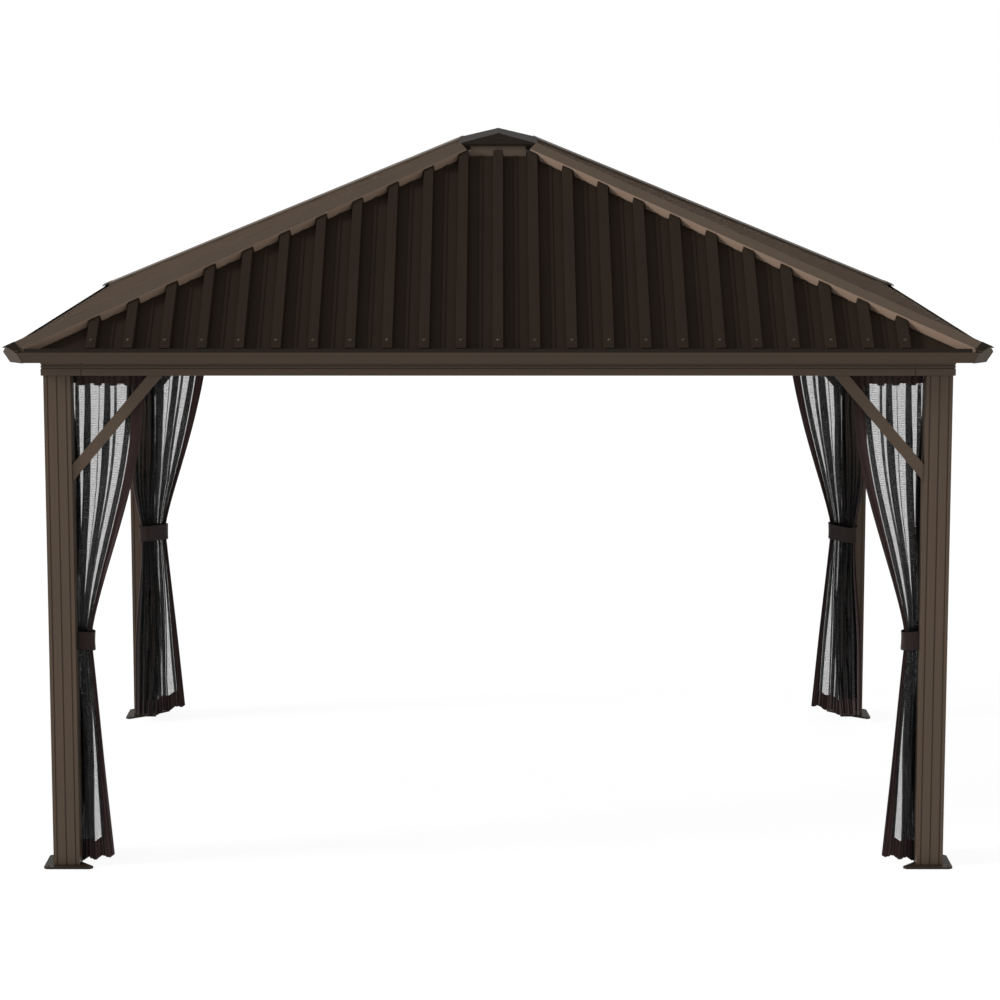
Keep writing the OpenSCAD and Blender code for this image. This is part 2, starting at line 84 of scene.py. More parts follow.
class Nodes:
    """Short ways to add and join the nodes of a tree."""

    def __init__(self, tree):
        self.tree = tree

    def add(self, kind, **values):
        node = self.tree.nodes.new(kind)
        for key, value in values.items():
            if hasattr(node, key):
                setattr(node, key, value)
            else:
                node.inputs[key.replace("_", " ")].default_value = value
        return node

    def join(self, out, into):
        self.tree.links.new(out, into)

    def span(self, value, low, high, from_low=0.0, from_high=1.0):
        """Maps a value onto the range low to high."""
        node = self.add("ShaderNodeMapRange")
        limits = {"From Min": from_low, "From Max": from_high, "To Min": low, "To Max": high}
        for key, number in limits.items():
            node.inputs[key].default_value = number
        self.join(value, node.inputs["Value"])
        return node.outputs["Result"]

    def math(self, operation, a, b):
        node = self.add("ShaderNodeMath", operation=operation)
        for socket, value in zip(node.inputs, (a, b)):
            if isinstance(value, (int, float)):
                socket.default_value = value
            else:
                self.join(value, socket)
        return node.outputs["Value"]

    def part(self, vector, axis):
        """One of the X, Y and Z parts of a vector."""
        node = self.add("ShaderNodeSeparateXYZ")
        self.join(vector, node.inputs["Vector"])
        return node.outputs[axis]


# Range in which most values of a noise lie
NOISE_MIDDLE = (0.3, 0.7)
# Range of ambient occlusion that goes from deep painted shade to none
HOLLOW_SHADE_FADE = (0.25, 0.85)


class Shader(Nodes):
    """A new material on the Principled BSDF."""

    def __init__(self, name):
        self.material = bpy.data.materials.new(name)
        self.material.use_nodes = True
        super().__init__(self.material.node_tree)
        self.bsdf = self.tree.nodes["Principled BSDF"]

    def coords(self, output="Object", scale=(1, 1, 1)):
        """Texture coordinates of the piece, stretched by scale."""
        mapping = self.add("ShaderNodeMapping")
        mapping.inputs["Scale"].default_value = scale
        self.join(self.add("ShaderNodeTexCoord").outputs[output], mapping.inputs["Vector"])
        return mapping.outputs["Vector"]

    def noise(self, vector, scale, detail=3.0, rough=0.5):
        node = self.add("ShaderNodeTexNoise", Scale=scale, Detail=detail, Roughness=rough)
        self.join(vector, node.inputs["Vector"])
        return node.outputs["Fac"]

    def varied(self, value, colour, low, high, between=NOISE_MIDDLE):
        """A colour that goes from its low to its high shade as a value rises."""
        node = self.add("ShaderNodeValToRGB")
        for element, place, factor in zip(node.color_ramp.elements, between, (low, high)):
            element.position = place
            element.color = shade_of(colour, factor)
        self.join(value, node.inputs["Fac"])
        return node.outputs["Color"]

    def mix(self, factor, a, b):
        """Mixes two colours; factor is a number or an output."""
        node = self.add("ShaderNodeMix", data_type="RGBA")
        for socket, value in ((node.inputs[0], factor), (node.inputs[6], a), (node.inputs[7], b)):
            if isinstance(value, (int, float, tuple)):
                socket.default_value = value
            else:
                self.join(value, socket)
        return node.outputs[2]

    def paint_hollow_shade(self, coat, shade_colour, hollow_size):
        """Sets the base colour: coat in the open, painted shade (darkened by ambient occlusion) deep in
        joints and folds of about this size.
        """
        # painted shade: ambient occlusion darkens the colour in hollows
        node = self.add("ShaderNodeAmbientOcclusion", samples=6, Distance=hollow_size)
        unshaded = self.span(node.outputs["AO"], 0.0, 1.0, *HOLLOW_SHADE_FADE)
        self.join(self.mix(unshaded, shade_colour, coat), self.bsdf.inputs["Base Color"])

    def bump(self, height, distance, strength):
        node = self.add("ShaderNodeBump", Distance=distance, Strength=strength)
        self.join(height, node.inputs["Height"])
        self.join(node.outputs["Normal"], self.bsdf.inputs["Normal"])


# Materials: noise scales are per metre, sizes and bump heights in metres

# Share of a colour painted as shade deep in joints, grooves and folds
HOLLOW_SHADE_LEVEL = 0.25

CLOUD_SCALE = 2.3
PEEL_SCALE = 700.0
PEEL_HEIGHT = 0.0002
SATIN_ROUGHNESS = (0.42, 0.54)
PAINT_SPECULAR = 0.1
JOINT_SIZE = 0.009
FACES_UP = 0.5
FACES_DOWN = -0.2


def paint(name, colour, grain, streak=0.10, up=None, down=None):
    """Satin powder coat: fine orange peel, faint streaks along the grain, painted shade in joints and
    grooves.

    up and down are colours painted on faces that look up or down: painted shade on faces that look up,
    painted light on faces that look down."""
    s = Shader(name)
    clouds = s.noise(s.coords(), CLOUD_SCALE, detail=4.0)
    streaks = s.noise(s.coords(scale=grain), 1.0, detail=5.0, rough=0.65)
    tone = s.varied(clouds, colour, 0.93, 1.06)
    lined = s.varied(streaks, colour, 1.0 - streak, 1.0 + streak)
    coat = s.mix(0.5, tone, lined)
    facing = s.part(s.add("ShaderNodeNewGeometry").outputs["Normal"], "Z")
    # painted shade: faces that look up take the darker up colour
    if up:
        coat = s.mix(s.math("GREATER_THAN", facing, FACES_UP), coat, up)
    # painted light: faces that look down take the lighter down colour
    if down:
        coat = s.mix(s.math("LESS_THAN", facing, FACES_DOWN), coat, down)
    # painted shade in joints and grooves, by ambient occlusion
    s.paint_hollow_shade(coat, shade_of(colour, HOLLOW_SHADE_LEVEL), JOINT_SIZE)
    s.join(s.span(clouds, *SATIN_ROUGHNESS, *NOISE_MIDDLE), s.bsdf.inputs["Roughness"])
    s.bsdf.inputs["Specular IOR Level"].default_value = PAINT_SPECULAR
    s.bump(s.noise(s.coords(), PEEL_SCALE, detail=2.0), PEEL_HEIGHT, 0.35)
    return s.material


WEATHER_SCALE = 3.1
SHEET_GRAIN_SCALE = 450.0
MATT_ROUGHNESS = (0.58, 0.70)
SHEET_SPECULAR = 0.04
SHEET_FOLD_SIZE = 0.010
# Share of the sheet colour painted as shade by the folds
SHEET_HOLLOW_SHADE = 0.5


def roof_paint(name, colour, along):
    """Coil-coated sheet, nearly matt: faint streaks down the slope, slight weathering, painted shade by the
    folds.
    """
    s = Shader(name)
    weather = s.noise(s.coords(), WEATHER_SCALE, detail=5.0, rough=0.6)
    streaks = s.noise(s.coords(scale=along), 1.0, detail=6.0, rough=0.7)
    tone = s.varied(weather, colour, 0.88, 1.12, (0.25, 0.75))
    lined = s.varied(streaks, colour, 0.88, 1.12)
    # painted shade by the folds, by ambient occlusion
    s.paint_hollow_shade(s.mix(0.5, tone, lined), shade_of(colour, SHEET_HOLLOW_SHADE), SHEET_FOLD_SIZE)
    s.join(s.span(streaks, *MATT_ROUGHNESS, *NOISE_MIDDLE), s.bsdf.inputs["Roughness"])
    s.bsdf.inputs["Specular IOR Level"].default_value = SHEET_SPECULAR
    s.bump(s.noise(s.coords(), SHEET_GRAIN_SCALE, detail=2.0), PEEL_HEIGHT, 0.3)
    return s.material


THREAD_PITCH = 0.0013
THREAD_SHARE = 0.62
CROSS_PITCH = 0.0066
CROSS_SHARE = 0.2
DRIFT_SCALE = 14.0
DRIFT_ACROSS = 0.002
DRIFT_ALONG = 0.006
PATCH_SCALE = 170.0
PATCH_COVER = 0.62
SPECKLE_SCALE = 190.0
NET_FOLD_SIZE = 0.06


def mesh_cloth(name, colour, cover, glint):
    """Knitted net in flat-cloth metres: a fine open weave with heavier cross threads and pale speckles
    painted as glints.
    """
    s = Shader(name)
    flat = s.coords("UV")
    drift = s.noise(flat, DRIFT_SCALE, detail=2.0)
    across = s.math("ADD", s.part(flat, "X"), s.span(drift, -DRIFT_ACROSS, DRIFT_ACROSS))
    along = s.math("ADD", s.part(flat, "Y"), s.span(drift, -DRIFT_ALONG, DRIFT_ALONG))

    def threads(place, pitch, share):
        """1 on threads that fill a share of each pitch."""
        phase = s.math("FRACT", s.math("DIVIDE", place, pitch), 0.0)
        return s.math("LESS_THAN", phase, share)

    fine = cover * THREAD_SHARE
    weave = s.math("MAXIMUM", threads(across, THREAD_PITCH, fine), threads(along, THREAD_PITCH, fine))
    heavy = threads(along, CROSS_PITCH, CROSS_SHARE)
    patchy = s.span(s.noise(flat, PATCH_SCALE, detail=2.0), 0.0, 1.0, 0.36, 0.64)
    worn = s.math("MULTIPLY", weave, s.span(patchy, PATCH_COVER, 1.0))
    s.join(s.math("MAXIMUM", worn, heavy), s.bsdf.inputs["Alpha"])
    # painted highlight: pale glints on the threads, up to glint times the colour
    speckle = s.varied(s.noise(flat, SPECKLE_SCALE), colour, 0.7, glint, (0.40, 0.64))
    # painted shade between the layers of folded net
    s.paint_hollow_shade(speckle, shade_of(colour, HOLLOW_SHADE_LEVEL), NET_FOLD_SIZE)
    s.bsdf.inputs["Roughness"].default_value = 0.7
    s.bsdf.inputs["Specular IOR Level"].default_value = 0.25
    return s.material


TWILL_SCALE = 170.0
CREASE_STRETCH = (9.0, 3.0, 1.0)
TAPE_RELIEF = 0.0004
TAPE_FOLD_SIZE = 0.02


def woven_cloth(name, colour):
    """Closely woven tape: fine twill lines and soft creases."""
    s = Shader(name)
    wave = s.add("ShaderNodeTexWave", bands_direction="DIAGONAL", Scale=TWILL_SCALE, Distortion=1.5)
    s.join(s.coords("UV"), wave.inputs["Vector"])
    twill = wave.outputs["Fac"]
    creases = s.noise(s.coords("UV", CREASE_STRETCH), 3.0, detail=5.0)
    tone = s.varied(creases, colour, 0.7, 1.3)
    lines = s.varied(twill, colour, 0.85, 1.15, (0.0, 1.0))
    # painted shade in the folds of the tape
    s.paint_hollow_shade(s.mix(0.5, tone, lines), shade_of(colour, HOLLOW_SHADE_LEVEL), TAPE_FOLD_SIZE)
    s.bsdf.inputs["Roughness"].default_value = 0.85
    s.bsdf.inputs["Specular IOR Level"].default_value = 0.2
    s.bsdf.inputs["Sheen Weight"].default_value = 0.15
    s.bump(s.math("ADD", twill, creases), TAPE_RELIEF, 0.5)
    return s.material


MARK_SCALE = 240.0


def screw_metal(name, colour, metal):
    """Small painted fixing with faint handling marks."""
    s = Shader(name)
    marks = s.noise(s.coords(), MARK_SCALE, detail=4.0)
    s.join(s.varied(marks, colour, 0.8, 1.2), s.bsdf.inputs["Base Color"])
    s.join(s.span(marks, 0.3, 0.5, *NOISE_MIDDLE), s.bsdf.inputs["Roughness"])
    s.bsdf.inputs["Metallic"].default_value = metal
    return s.material


FRAME_BROWN = srgb(85, 72, 61)
# Darker copy of the frame brown for the feet: painted shade
FOOT_PAINTED_SHADE = srgb(50, 41, 33)
GUTTER_BROWN = srgb(73, 61, 51)
TRIM_BROWN = srgb(83, 71, 61)
SKIRT_BROWN = srgb(102, 88, 76)
# Lighter tan on the down-facing flanges of the hip caps: painted light, standing in for sun on them
FLANGE_PAINTED_LIGHT = srgb(150, 128, 111)
ROOF_BROWN = srgb(42, 34, 27)
# Lighter copy of the roof brown for the side sheets: painted light
SIDE_ROOF_PAINTED_LIGHT = srgb(88, 73, 60)
CAP_BROWN = srgb(34, 28, 22)
CLOTH_BROWN = srgb(54, 37, 37)
STRAP_BROWN = srgb(42, 31, 30)
NET_BLACK = srgb(36, 35, 35)
SCREW_BROWN = srgb(62, 52, 41)

# Streaks per metre along X, Y and Z; pairs are for sides whose eave runs along X and along Y
UPRIGHT = (90.0, 90.0, 1.5)
LENGTHWISE = [(1.5, 90.0, 90.0), (90.0, 1.5, 90.0)]
DOWN_SLOPE = [(40.0, 2.0, 2.0), (2.0, 40.0, 2.0)]
EVEN = (6.0, 6.0, 6.0)
FAINT = 0.05

post_paint = paint("powder_coat_posts", FRAME_BROWN, UPRIGHT)
# Feet in a darker copy of the frame paint: painted shade
foot_paint = paint("powder_coat_feet_shaded", FOOT_PAINTED_SHADE, EVEN)
beam_paint = [paint(f"powder_coat_beams_{axis}", FRAME_BROWN, LENGTHWISE[axis]) for axis in (0, 1)]
# Faces of the gutters that look up are painted in the dark cap brown: painted shade
gutter_paint = [
    paint(f"powder_coat_gutters_{axis}", GUTTER_BROWN, LENGTHWISE[axis], up=CAP_BROWN)
    for axis in (0, 1)
]
# Faces of the corners that look up are painted in the dark cap brown: painted shade
corner_paint = paint("powder_coat_corners", GUTTER_BROWN, EVEN, streak=FAINT, up=CAP_BROWN)
# The down-facing hip-cap flanges take a lighter tan: painted light
hip_paint = paint("powder_coat_hip_caps", TRIM_BROWN, EVEN, streak=FAINT, down=FLANGE_PAINTED_LIGHT)
skirt_paint = paint("powder_coat_skirt", SKIRT_BROWN, EVEN, streak=FAINT)
# The side sheets take a lighter copy of the roof colour: painted light on the sides
sheet_paint = [
    roof_paint("roof_sheet_front_rear", ROOF_BROWN, DOWN_SLOPE[0]),
    roof_paint("roof_sheet_sides_painted_light", SIDE_ROOF_PAINTED_LIGHT, DOWN_SLOPE[1]),
]
cap_paint = roof_paint("roof_ridge_cap", CAP_BROWN, DOWN_SLOPE[1])
net_mesh = mesh_cloth("net_mesh", NET_BLACK, cover=0.56, glint=8.0)
# The side nets take a darker, denser copy of the net with fewer pale glints: painted shade
side_net_mesh_shaded = mesh_cloth("side_net_mesh_shaded", NET_BLACK, cover=0.68, glint=2.2)
hem_cloth = woven_cloth("hem_tape", CLOTH_BROWN)
tie_cloth = woven_cloth("tie_strap", STRAP_BROWN)
screw_paint = screw_metal("roof_screw", SCREW_BROWN, metal=0.2)


def finish_for(node):
    side = next((k for k, name in enumerate(SIDES) if node.startswith(name + "_")), 0)
    if node.endswith("_post"):
        return post_paint
    if node.endswith("_foot"):
        return foot_paint
    if node.endswith("_gutter"):
        return gutter_paint[side % 2]
    if node.endswith("_roof"):
        return sheet_paint[side % 2]
    if node == "ridge_cap":
        return cap_paint
    if node.endswith("_hip_cap"):
        return hip_paint
    if node == "gutter_corners":
        return corner_paint
    if node == "vent_skirt":
        return skirt_paint
    if node.endswith("_nets"):
        return net_mesh
    if node == "net_ties":
        return tie_cloth
    return beam_paint[side % 2]


for name, piece in NODES.items():
    piece.data.materials.clear()
    piece.data.materials.append(finish_for(name))


# Mesh helpers

def new_piece(name, bm, materials, smooth=True):
    """Puts a finished bmesh into the scene as a piece that rides on the root body."""
    mesh = bpy.data.meshes.new(name)
    bm.to_mesh(mesh)
    bm.free()
    piece = bpy.data.objects.new(name, mesh)
    bpy.context.scene.collection.objects.link(piece)
    for material in materials:
        mesh.materials.append(material)
    if smooth:
        mesh.shade_smooth()
    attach(piece, "root")
    return piece


def turned(bm, rings, matrix, sides):
    """Adds a turned solid to bm: rings of (radius, height), closed at both ends."""
    loops = []
    for radius, height in rings:
        loops.append([
            bm.verts.new(matrix @ Vector((radius * math.cos(a), radius * math.sin(a), height)))
            for a in (2 * math.pi * k / sides for k in range(sides))
        ])
    for low, high in zip(loops, loops[1:]):
        for k in range(sides):
            bm.faces.new((low[k], low[(k + 1) % sides], high[(k + 1) % sides], high[k]))
    bm.faces.new(list(reversed(loops[0])))
    bm.faces.new(loops[-1])


# Roof screws: one on each rib near the eave

RIB_PITCH = 0.137
RIB_WIDTH = 0.044
RIB_CREST = 0.036
RIB_HEIGHT = 0.031
RIBS_EACH_WAY = [11, 10]
SCREW_UP = 0.045
SCREW_WASHER = [(0.0070, 0.0), (0.0070, 0.0010), (0.0050, 0.0018)]
SCREW_HEAD = [(0.0042, 0.0015), (0.0042, 0.0040), (0.0032, 0.0048)]
WASHER_SIDES = 20
HEAD_SIDES = 6
HEAD_TURN = 0.7
SHEET_INSET = 0.050
SHEET_DROP = 0.011
LIP_RISE = 0.013
CROWN_BACK = 0.002
CROWN_DROP = 0.006


def side_turn(side):
    """Rotation that turns a side drawn as the front one into its place."""
    return Matrix.Rotation(side * math.pi / 2, 4, "Z")


def sheet_plane(side):
    """Matrix of a roof sheet and its length up the slope.

    X runs along the eave, Y up the slope and Z out of the sheet, from the middle of the eave."""
    lip_low, lip_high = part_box("front_gutter" if side % 2 == 0 else "right_gutter")
    crown_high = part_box("crown")[1]
    lip_out = -lip_low.y if side % 2 == 0 else lip_high.x
    top_out = (crown_high.y if side % 2 == 0 else crown_high.x) + CROWN_BACK
    eave_out = lip_out - SHEET_INSET
    eave_z = lip_high.z - LIP_RISE - SHEET_DROP
    rise = Vector((eave_out - top_out, crown_high.z + CROWN_DROP - eave_z))
    tilt = Matrix.Rotation(math.atan2(rise.y, rise.x), 4, "X")
    return side_turn(side) @ Matrix.Translation((0, -eave_out, eave_z)) @ tilt, rise.length


def roof_screws(side):
    count = RIBS_EACH_WAY[side % 2]
    plane, _ = sheet_plane(side)
    bm = bmesh.new()
    for k in range(-count, count + 1):
        spot = plane @ Matrix.Translation((k * RIB_PITCH, SCREW_UP, RIB_HEIGHT))
        turned(bm, SCREW_WASHER, spot, WASHER_SIDES)
        turned(bm, SCREW_HEAD, spot @ Matrix.Rotation(HEAD_TURN * k, 4, "Z"), HEAD_SIDES)
    new_piece(f"{SIDES[side]}_roof_screws", bm, [screw_paint], smooth=False)


# Rib plugs: thin plates that close the upper ends of the ribs at the ridge vent

PLUG_THICK = 0.002
PLUG_INSET = 0.0015
PLUG_TOE = 0.006


def rib_plugs(side):
    """Plates that lean from the crest of each rib to a toe just past the end of the sheet."""
    plane, length = sheet_plane(side)
    crown_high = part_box("crown")[1]
    half_top = crown_high.x if side % 2 == 0 else crown_high.y
    count = int((half_top + CROWN_BACK - RIB_WIDTH / 2) / RIB_PITCH)
    base = RIB_WIDTH / 2 - PLUG_INSET
    crest = RIB_CREST / 2 - PLUG_INSET
    top = RIB_HEIGHT - PLUG_INSET / 2
    toe = PLUG_TOE - PLUG_INSET
    outline = [(-base, toe, PLUG_INSET), (base, toe, PLUG_INSET), (crest, 0, top), (-crest, 0, top)]
    bm = bmesh.new()
    for k in range(-count, count + 1):
        outer, inner = (
            [
                bm.verts.new(plane @ Vector((k * RIB_PITCH + x, length + y - back, z)))
                for x, y, z in outline
            ]
            for back in (0.0, PLUG_THICK)
        )
        bm.faces.new(outer)
        bm.faces.new(inner)
        for n in range(len(outline)):
            bm.faces.new((outer[n - 1], outer[n], inner[n], inner[n - 1]))
    bmesh.ops.recalc_face_normals(bm, faces=bm.faces)
    new_piece(f"{SIDES[side]}_rib_plugs", bm, [sheet_paint[side % 2]], smooth=False)


for side in range(len(SIDES)):
    roof_screws(side)
    rib_plugs(side)


# Nets: eight half nets, each one continuous cloth folded to the stripes seen in the photo

# Stripes at the rail from the post outwards: single cloth ("open") or a stack of folds, width in about
# millimetres, which is scaled to fill the reach, layers, and the height at which an open one has closed
# (1 at the rail, 0 at the tie)
NET_STRIPES = [
    ("open", 7.6, 1, 0.75), ("fold", 11.4, 5, None), ("open", 23.7, 1, 0.36), ("fold", 17.0, 7, None),
    ("open", 31.8, 1, 0.12), ("fold", 2.6, 3, None), ("open", 17.6, 1, 0.20), ("fold", 17.0, 7, None),
    ("open", 16.0, 1, 0.30), ("fold", 7.0, 5, None), ("open", 38.0, 1, 0.03), ("fold", 13.0, 7, None),
    ("open", 6.0, 1, 0.00),
]
# The stripe that opens again below the tie, its width at the hem, and the share of the way down to the
# hem at which it starts
LAST_OPEN = 10
SLIVER = 0.028
SLIVER_FROM = 1 / 6
# How much sooner the rear nets close, and the power that shapes how an open stripe narrows
REAR_CLOSES = 0.2
NARROWING = 0.8

# Reach from the post at the rail, tie and hem, and the power that shapes the curve from rail to tie
NET_REACH = {"top": 0.272, "waist": 0.058, "hem": 0.130}
PULL_IN = 1.2
HEM_WIDTH = 0.047
HEM_TURNED = 0.012
HEM_SPREAD = 0.020
TOP_BAND = 0.062
BOTTOM_BAND = 0.072
LOW_AT_POST = 0.010
LOW_AT_EDGE = 0.040
LOWEST = 0.006

# Place and depth of a bunch of folds inwards from the beam
NET_GAP = 0.004
NET_CLEAR = 0.0004
NET_DEPTH = 0.042
REAR_DEPTH = 0.020
NET_BULGE = 0.036
# How far a bunch spreads outwards, up to which height above the tie, and by which share below the tie
NET_OUTWARD = 0.030
CLEAR_OF_BRACE = 0.55
OUTWARD_BY = 2 / 3

# Fine pleats over the folds, which take up the cloth where the net narrows
PLEATS = 10
PLEAT_FULLNESS = 1.30
LEAST_FULLNESS = 1.02
PLEAT_CURVE = 1.03
PLEAT_DEEPEST = 0.0075
PLEAT_ROOM = 0.018

# Unevenness: waviness of the pleats, sideways drift, lobes at the hem and tucks under the top band
BEND = 0.9
BEND_PER_PLEAT = 0.31
BEND_PER_METRE = 1.7
DRIFT = 0.004
DRIFT_PER_METRE = 5.0
DRIFT_PLEATS = 9
LOBE = 0.006
LOBE_PLEATS = 4.3
LOBE_TOP = 0.35
LOBE_FADE = 0.3
TUCK = 0.004
TUCK_PLEATS = 2.2
TUCK_SPREAD = 0.02

# Rows of each stretch from the rail down, and steps across each kind of stripe
ROWS = [6, 44, 5, 32, 7]
STEPS = {"open": 6, "fold": 4, "hem": 6}
TOLERANCE = 1e-6

STRIPE_SCALE = (NET_REACH["top"] - HEM_WIDTH) / sum(stripe[1] for stripe in NET_STRIPES)
FOLD_SUM = sum(width for kind, width, _, _ in NET_STRIPES if kind == "fold") * STRIPE_SCALE
LAYER_SUM = sum(width * layers for _, width, layers, _ in NET_STRIPES) * STRIPE_SCALE
NET_FLAT_WIDTH = PLEAT_FULLNESS * (LAYER_SUM + HEM_WIDTH)


def smooth_step(x):
    x = min(max(x, 0.0), 1.0)
    return x * x * (3 - 2 * x)


def open_widths(height, rear):
    """Widths of the open stripes at a height above the tie, 1 at the rail and 0 at the tie."""
    widths = {}
    for k, (kind, width, _, closed) in enumerate(NET_STRIPES):
        if kind == "open":
            closed += (1 - closed) * REAR_CLOSES * rear
            share = max(height - closed, 0.0) / (1 - closed)
            widths[k] = width * STRIPE_SCALE * share ** NARROWING
    return widths


def stripe_row(reach, widths, hem_reach):
    """Folded line of one row across the net: distances from the post, and a tag for each step.

    The open stripes have the widths given, and the folds share out the rest of the reach."""
    fold_scale = (reach - hem_reach - sum(widths.values())) / FOLD_SUM * STRIPE_SCALE
    line, tags = [0.0], []

    def run_to(end, kind):
        start = line[-1]
        line.extend(start + (end - start) * (n + 1) / STEPS[kind] for n in range(STEPS[kind]))
        tags.extend([kind] * STEPS[kind])

    for k, (kind, width, layers, _) in enumerate(NET_STRIPES):
        start = line[-1]
        step = widths.get(k, 0.0) if kind == "open" else width * fold_scale
        for layer in range(layers):
            run_to(start + step * ((layer + 1) % 2), kind)
    edge = line[-1] + hem_reach
    for end in (edge, edge - (HEM_WIDTH - hem_reach) / 2, edge):
        run_to(end, "hem")
    return np.array(line), tags


def net_levels(top_z, tie_low, tie_high):
    """Drops below the rail at which the rows of a net lie."""
    edge = top_z - LOW_AT_EDGE
    stops = [0, TOP_BAND, top_z - tie_high, top_z - tie_low, edge - BOTTOM_BAND, edge]
    stretches = [np.linspace(a, b, count) for a, b, count in zip(stops, stops[1:], ROWS)]
    return np.concatenate([stretches[0]] + [stretch[1:] for stretch in stretches[1:]])


def net_rows(top_z, tie_low, tie_high, rear, seed):
    """Rows of a half net from rail to hem: points (along the beam, inwards, up) and flat-cloth UVs."""
    # shifts of the waves, so that no two nets fold alike
    sway = np.random.default_rng(seed).uniform(-1, 1, 6)
    rows, flats = [], []
    levels = net_levels(top_z, tie_low, tie_high)
    for drop in levels:
        z = top_z - drop
        if z >= tie_high:
            k = (z - tie_high) / (top_z - tie_high)
            spread = math.sin(math.pi / 2 * k) ** PULL_IN
            reach = NET_REACH["waist"] + (NET_REACH["top"] - NET_REACH["waist"]) * spread
            hem_reach = HEM_TURNED + (HEM_WIDTH - HEM_TURNED) * k
            widths = open_widths(k, rear)
            outward = NET_OUTWARD * math.sin(math.pi * min(k / CLEAR_OF_BRACE, 1.0))
        else:
            k = min(max((tie_low - z) / (tie_low - LOW_AT_EDGE), 0.0), 1.0)
            reach = NET_REACH["waist"] + (NET_REACH["hem"] - NET_REACH["waist"]) * k
            hem_reach = HEM_TURNED + HEM_SPREAD * k
            widths = {LAST_OPEN: SLIVER * smooth_step((k - SLIVER_FROM) / (1 - SLIVER_FROM))}
            outward = NET_OUTWARD * smooth_step(k / OUTWARD_BY)
        line, tags = stripe_row(reach, widths, hem_reach)
        # pleat depth that keeps the row about as long as the flat cloth
        fullness = max(NET_FLAT_WIDTH / np.abs(np.diff(line)).sum(), LEAST_FULLNESS)
        pleat = min(reach / PLEATS / 4 * math.sqrt(fullness ** 2 - 1) * PLEAT_CURVE, PLEAT_DEEPEST)
        share = line / reach
        place = share * PLEATS * 2 * math.pi
        bend = BEND * np.sin(BEND_PER_PLEAT * place + 3 * sway[0] + BEND_PER_METRE * drop)
        depth = NET_DEPTH + REAR_DEPTH * rear + NET_BULGE * math.sin(math.pi * k) + outward
        stack = (0.5 - np.linspace(0, 1, len(line))) * (depth - PLEAT_ROOM)
        v = NET_GAP - outward + depth / 2 + stack + pleat * np.sin(place + bend + sway[1])
        wander = np.sin(DRIFT_PER_METRE * drop + 4 * sway[2] + place / DRIFT_PLEATS)
        drift = DRIFT * math.sin(math.pi * smooth_step(k)) * wander
        u = line + drift * share * (1 - share) * 4
        fall = smooth_step((tie_low - z) / tie_low)
        low = (1 - share) * (LOW_AT_EDGE - LOW_AT_POST) * fall
        lobe_share = smooth_step((LOBE_TOP - z) / LOBE_FADE)
        lobes = LOBE * np.sin(place / LOBE_PLEATS + 3 * sway[3]) * lobe_share
        tuck_share = math.exp(-((drop - TOP_BAND) / TUCK_SPREAD) ** 2)
        tucks = TUCK * np.sign(np.sin(place / TUCK_PLEATS + 6 * sway[4])) * tuck_share
        height = np.clip(z - low + lobes + tucks, LOWEST, top_z)
        point = np.stack([np.clip(u, 0, None) + NET_CLEAR, v, height], 1)
        run = np.concatenate([[0], np.cumsum(np.linalg.norm(np.diff(point, axis=0), axis=1))])
        rows.append(point)
        flats.append(np.stack([run, np.full_like(run, drop)], 1))
    return np.array(rows), np.array(flats), tags, levels


def half_net(name, origin, along, inward, hang, mesh, seed):
    """One half net as a single open mesh, its hems in tape and the rest in mesh; also its length."""
    rows, flats, tags, levels = net_rows(*hang, seed)
    bm = bmesh.new()
    uv_layer = bm.loops.layers.uv.new("flat")

    def vertex(u, v, z):
        return bm.verts.new(origin + along * float(u) + inward * float(v) + Vector((0, 0, float(z))))

    grid = [[vertex(*point) for point in row] for row in rows]
    length = levels[-1]
    for r in range(len(grid) - 1):
        in_top_band = levels[r + 1] <= TOP_BAND + TOLERANCE
        in_bottom_band = levels[r] >= length - BOTTOM_BAND - TOLERANCE
        for c in range(len(tags)):
            around = ((r, c), (r, c + 1), (r + 1, c + 1), (r + 1, c))
            face = bm.faces.new([grid[i][j] for i, j in around])
            face.material_index = 1 if in_top_band or in_bottom_band or tags[c] == "hem" else 0
            for loop, (i, j) in zip(face.loops, around):
                loop[uv_layer].uv = flats[i][j]
    return new_piece(name, bm, [mesh, hem_cloth]), length


def corner_frame(corner):
    """Inner corner of a post, the inner faces of its two beams, and the ways inwards along X and Y."""
    low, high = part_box(f"{CORNERS[corner]}_post")
    sx = 1 if low.x > 0 else -1
    sy = 1 if low.y > 0 else -1
    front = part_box("front_beam" if sy < 0 else "rear_beam")
    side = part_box("right_beam" if sx > 0 else "left_beam")
    return {
        "post": Vector((low.x if sx > 0 else high.x, low.y if sy > 0 else high.y, 0)),
        "beam": Vector((side[0].x if sx > 0 else side[1].x, front[1].y if sy < 0 else front[0].y, 0)),
        "x_in": Vector((-sx, 0, 0)), "y_in": Vector((0, -sy, 0)),
    }


# Tie straps: a tape pulled round the two gathered nets of a corner, from post face to post face

STRAP_REACH = 0.066
STRAP_GAP = 0.002
STRAP_CORNER = 0.012
STRAP_ROUND = 0.014
STRAP_ROWS = 9
ROUND_STEPS = 6
# Edges that stand off, small ripples, one long wave and a shorter one, with their lengths
EDGE_SLACK = 0.0015
RIPPLE = 0.0008
RIPPLE_LENGTH = 0.011
LONG_WAVE = 0.003
SHORT_WAVE = 0.002
SHORT_WAVE_LENGTH = 0.05


def rounded(points, radius):
    """Path through points with each inner corner rounded off."""
    path = [points[0]]
    for before, corner, after in zip(points, points[1:], points[2:]):
        start = corner + (before - corner).normalized() * radius
        end = corner + (after - corner).normalized() * radius
        for n in range(ROUND_STEPS + 1):
            t = n / ROUND_STEPS
            path.append(start.lerp(corner, t).lerp(corner.lerp(end, t), t))
    return path + [points[-1]]


